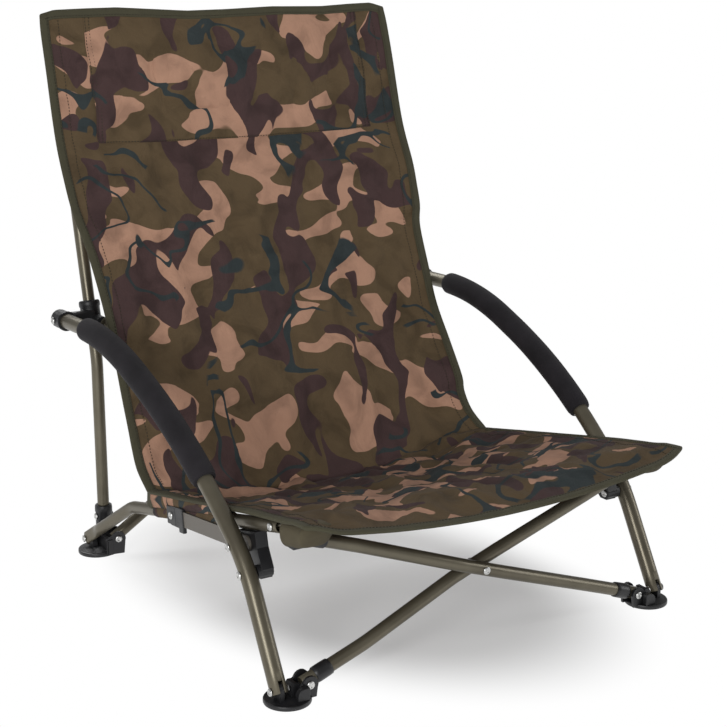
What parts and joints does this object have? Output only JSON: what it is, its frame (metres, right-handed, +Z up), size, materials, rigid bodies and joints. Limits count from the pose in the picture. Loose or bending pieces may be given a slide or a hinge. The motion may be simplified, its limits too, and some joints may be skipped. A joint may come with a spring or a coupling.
{
  "type": "folding low fishing chair",
  "caption": "Low folding fishing chair with a sling seat and high back in camouflage fabric, a crossed tube frame, bent arm tubes with foam grips and round plastic feet.",
  "frame": {"origin": "on the floor under the middle of the bounding box", "axes": "+X to the right as seen from the front, +Y to the back, +Z up"},
  "size_m": [0.6034, 0.7116, 0.7273],
  "materials": {
    "tube_steel": "satin",
    "zinc_steel": "satin",
    "bar_steel": "satin",
    "black_plastic": "matte",
    "foam": "matte",
    "camo_fabric": "matte",
    "trim_fabric": "matte"
  },
  "bodies": {
    "foot_front_left": {"foot_front_left": "black_plastic", "leg_rivet_left": "zinc_steel", "front_low_rivet_left": "zinc_steel"},
    "front_cross_a": {"front_cross_tube_a": "tube_steel", "front_cross_rivet": "zinc_steel"},
    "front_cross_b": {"front_cross_tube_b": "tube_steel"},
    "foot_front_right": {"foot_front_right": "black_plastic", "leg_rivet_right": "zinc_steel", "front_low_rivet_right": "zinc_steel"},
    "corner_left": {"corner_joint_left": "black_plastic", "front_high_rivet_left": "zinc_steel", "side_front_rivet_left": "zinc_steel"},
    "corner_right": {"corner_joint_right": "black_plastic", "front_high_rivet_right": "zinc_steel", "side_front_rivet_right": "zinc_steel"},
    "side_left": {"side_tube_left": "tube_steel", "link_rivet_left": "zinc_steel", "corner_pocket_left": "trim_fabric", "seat_sling": "camo_fabric"},
    "side_right": {"side_tube_right": "tube_steel", "link_rivet_right": "zinc_steel", "corner_pocket_right": "trim_fabric"},
    "rear_left": {"foot_rear_left": "black_plastic", "upright_left": "tube_steel", "upright_rivet_left": "zinc_steel", "side_rear_rivet_left": "zinc_steel", "rear_low_rivet_left": "zinc_steel", "back_sleeve_left": "trim_fabric"},
    "rear_right": {"foot_rear_right": "black_plastic", "upright_right": "tube_steel", "upright_rivet_right": "zinc_steel", "side_rear_rivet_right": "zinc_steel", "rear_low_rivet_right": "zinc_steel", "back_sleeve_right": "trim_fabric"},
    "back_cloth": {"back_sling": "camo_fabric", "head_panel": "camo_fabric"},
    "slider_left": {"slider_left": "black_plastic"},
    "slider_right": {"slider_right": "black_plastic"},
    "arm_left": {"arm_tube_left": "tube_steel", "arm_grip_left": "foam", "arm_cap_left": "black_plastic", "arm_bolt_left": "zinc_steel", "leg_bracket_left": "black_plastic", "leg_bolt_low_left": "zinc_steel", "leg_bolt_high_left": "zinc_steel"},
    "arm_right": {"arm_tube_right": "tube_steel", "arm_grip_right": "foam", "arm_cap_right": "black_plastic", "arm_bolt_right": "zinc_steel", "leg_bracket_right": "black_plastic", "leg_bolt_low_right": "zinc_steel", "leg_bolt_high_right": "zinc_steel"},
    "rear_cross_a": {"rear_cross_tube_a": "tube_steel"},
    "rear_cross_b": {"rear_cross_tube_b": "tube_steel", "rear_cross_rivet": "zinc_steel"},
    "link_left": {"link_bar_left": "bar_steel", "link_end_left": "black_plastic"},
    "link_right": {"link_bar_right": "bar_steel", "link_end_right": "black_plastic"}
  },
  "joints": [
    {"name": "front_fold", "type": "hinge", "parent": "foot_front_left", "child": "front_cross_a", "pos_m": [-0.23712, -0.29584, 0.018], "axis": [0, -1, 0], "range_deg": [0, 64.41], "deforming": ["seat_sling", "back_sling", "head_panel"]},
    {"name": "front_scissor", "type": "hinge", "parent": "front_cross_a", "child": "front_cross_b", "pos_m": [0, -0.29084, 0.1015], "axis": [0, 1, 0], "range_deg": [0, 128.82]},
    {"name": "front_foot_right_pivot", "type": "hinge", "parent": "front_cross_b", "child": "foot_front_right", "pos_m": [0.23712, -0.29584, 0.018], "axis": [0, -1, 0], "range_deg": [0, 64.41]},
    {"name": "front_corner_left_pivot", "type": "hinge", "parent": "front_cross_b", "child": "corner_left", "pos_m": [-0.23712, -0.28584, 0.185], "axis": [0, -1, 0], "range_deg": [0, 64.41]},
    {"name": "front_corner_right_pivot", "type": "hinge", "parent": "front_cross_a", "child": "corner_right", "pos_m": [0.23712, -0.28584, 0.185], "axis": [0, 1, 0], "range_deg": [0, 64.41]},
    {"name": "side_front_left_pivot", "type": "hinge", "parent": "corner_left", "child": "side_left", "pos_m": [-0.249, -0.25684, 0.19], "axis": [-1, 0, 0], "range_deg": [0, 51.69]},
    {"name": "side_front_right_pivot", "type": "hinge", "parent": "corner_right", "child": "side_right", "pos_m": [0.249, -0.25684, 0.19], "axis": [-1, 0, 0], "range_deg": [0, 51.69]},
    {"name": "rear_foot_left_pivot", "type": "hinge", "parent": "side_left", "child": "rear_left", "pos_m": [-0.272, 0.25116, 0.017], "axis": [1, 0, 0], "range_deg": [0, 51.69]},
    {"name": "rear_foot_right_pivot", "type": "hinge", "parent": "side_right", "child": "rear_right", "pos_m": [0.272, 0.25116, 0.017], "axis": [1, 0, 0], "range_deg": [0, 51.69]},
    {"name": "back_cloth_pivot", "type": "hinge", "parent": "rear_left", "child": "back_cloth", "pos_m": [-0.243, 0.34516, 0.702], "axis": [1, 0, 0], "range_deg": [0, 12.6]},
    {"name": "slider_left_slide", "type": "slide", "parent": "rear_left", "child": "slider_left", "axis": [0, 0.2324, 0.9726], "range_m": [0, 0.26617]},
    {"name": "slider_right_slide", "type": "slide", "parent": "rear_right", "child": "slider_right", "axis": [0, 0.2324, 0.9726], "range_m": [0, 0.26617]},
    {"name": "arm_left_pivot", "type": "hinge", "parent": "foot_front_left", "child": "arm_left", "pos_m": [-0.272, -0.29794, 0.0165], "axis": [1, 0, 0], "range_deg": [0, 33.83]},
    {"name": "arm_right_pivot", "type": "hinge", "parent": "foot_front_right", "child": "arm_right", "pos_m": [0.272, -0.29794, 0.0165], "axis": [1, 0, 0], "range_deg": [0, 33.83]},
    {"name": "rear_cross_a_pivot", "type": "hinge", "parent": "rear_left", "child": "rear_cross_a", "pos_m": [-0.24, 0.22116, 0.024], "axis": [-0.1457, -0.9893, 0], "range_deg": [0, 53.03]},
    {"name": "rear_cross_b_pivot", "type": "hinge", "parent": "rear_right", "child": "rear_cross_b", "pos_m": [0.24, 0.20396, 0.024], "axis": [-0.1457, 0.9893, 0], "range_deg": [0, 53.03]},
    {"name": "link_left_pivot", "type": "hinge", "parent": "side_left", "child": "link_left", "pos_m": [-0.249, -0.00884, 0.128], "axis": [1, 0, 0], "range_deg": [0, 95.64]},
    {"name": "link_right_pivot", "type": "hinge", "parent": "side_right", "child": "link_right", "pos_m": [0.249, -0.00884, 0.128], "axis": [1, 0, 0], "range_deg": [0, 95.64]}
  ],
  "couplings": [
    {"joint": "front_scissor", "follows": "front_fold", "ratio": 2},
    {"joint": "front_foot_right_pivot", "follows": "front_fold", "ratio": 1},
    {"joint": "front_corner_left_pivot", "follows": "front_fold", "ratio": 1},
    {"joint": "front_corner_right_pivot", "follows": "front_fold", "ratio": 1},
    {"joint": "side_front_left_pivot", "follows": "front_fold", "ratio": 0.80248},
    {"joint": "side_front_right_pivot", "follows": "front_fold", "ratio": 0.80248},
    {"joint": "rear_foot_left_pivot", "follows": "front_fold", "ratio": 0.80248},
    {"joint": "rear_foot_right_pivot", "follows": "front_fold", "ratio": 0.80248},
    {"joint": "back_cloth_pivot", "follows": "front_fold", "ratio": 0.1956},
    {"joint": "slider_left_slide", "follows": "front_fold", "m_per_rad": 0.23676},
    {"joint": "slider_right_slide", "follows": "front_fold", "m_per_rad": 0.23676},
    {"joint": "arm_left_pivot", "follows": "front_fold", "ratio": 0.52523},
    {"joint": "arm_right_pivot", "follows": "front_fold", "ratio": 0.52523},
    {"joint": "rear_cross_a_pivot", "follows": "front_fold", "ratio": 0.82339},
    {"joint": "rear_cross_b_pivot", "follows": "front_fold", "ratio": 0.82339},
    {"joint": "link_left_pivot", "follows": "front_fold", "ratio": 1.4849},
    {"joint": "link_right_pivot", "follows": "front_fold", "ratio": 1.4849}
  ]
}
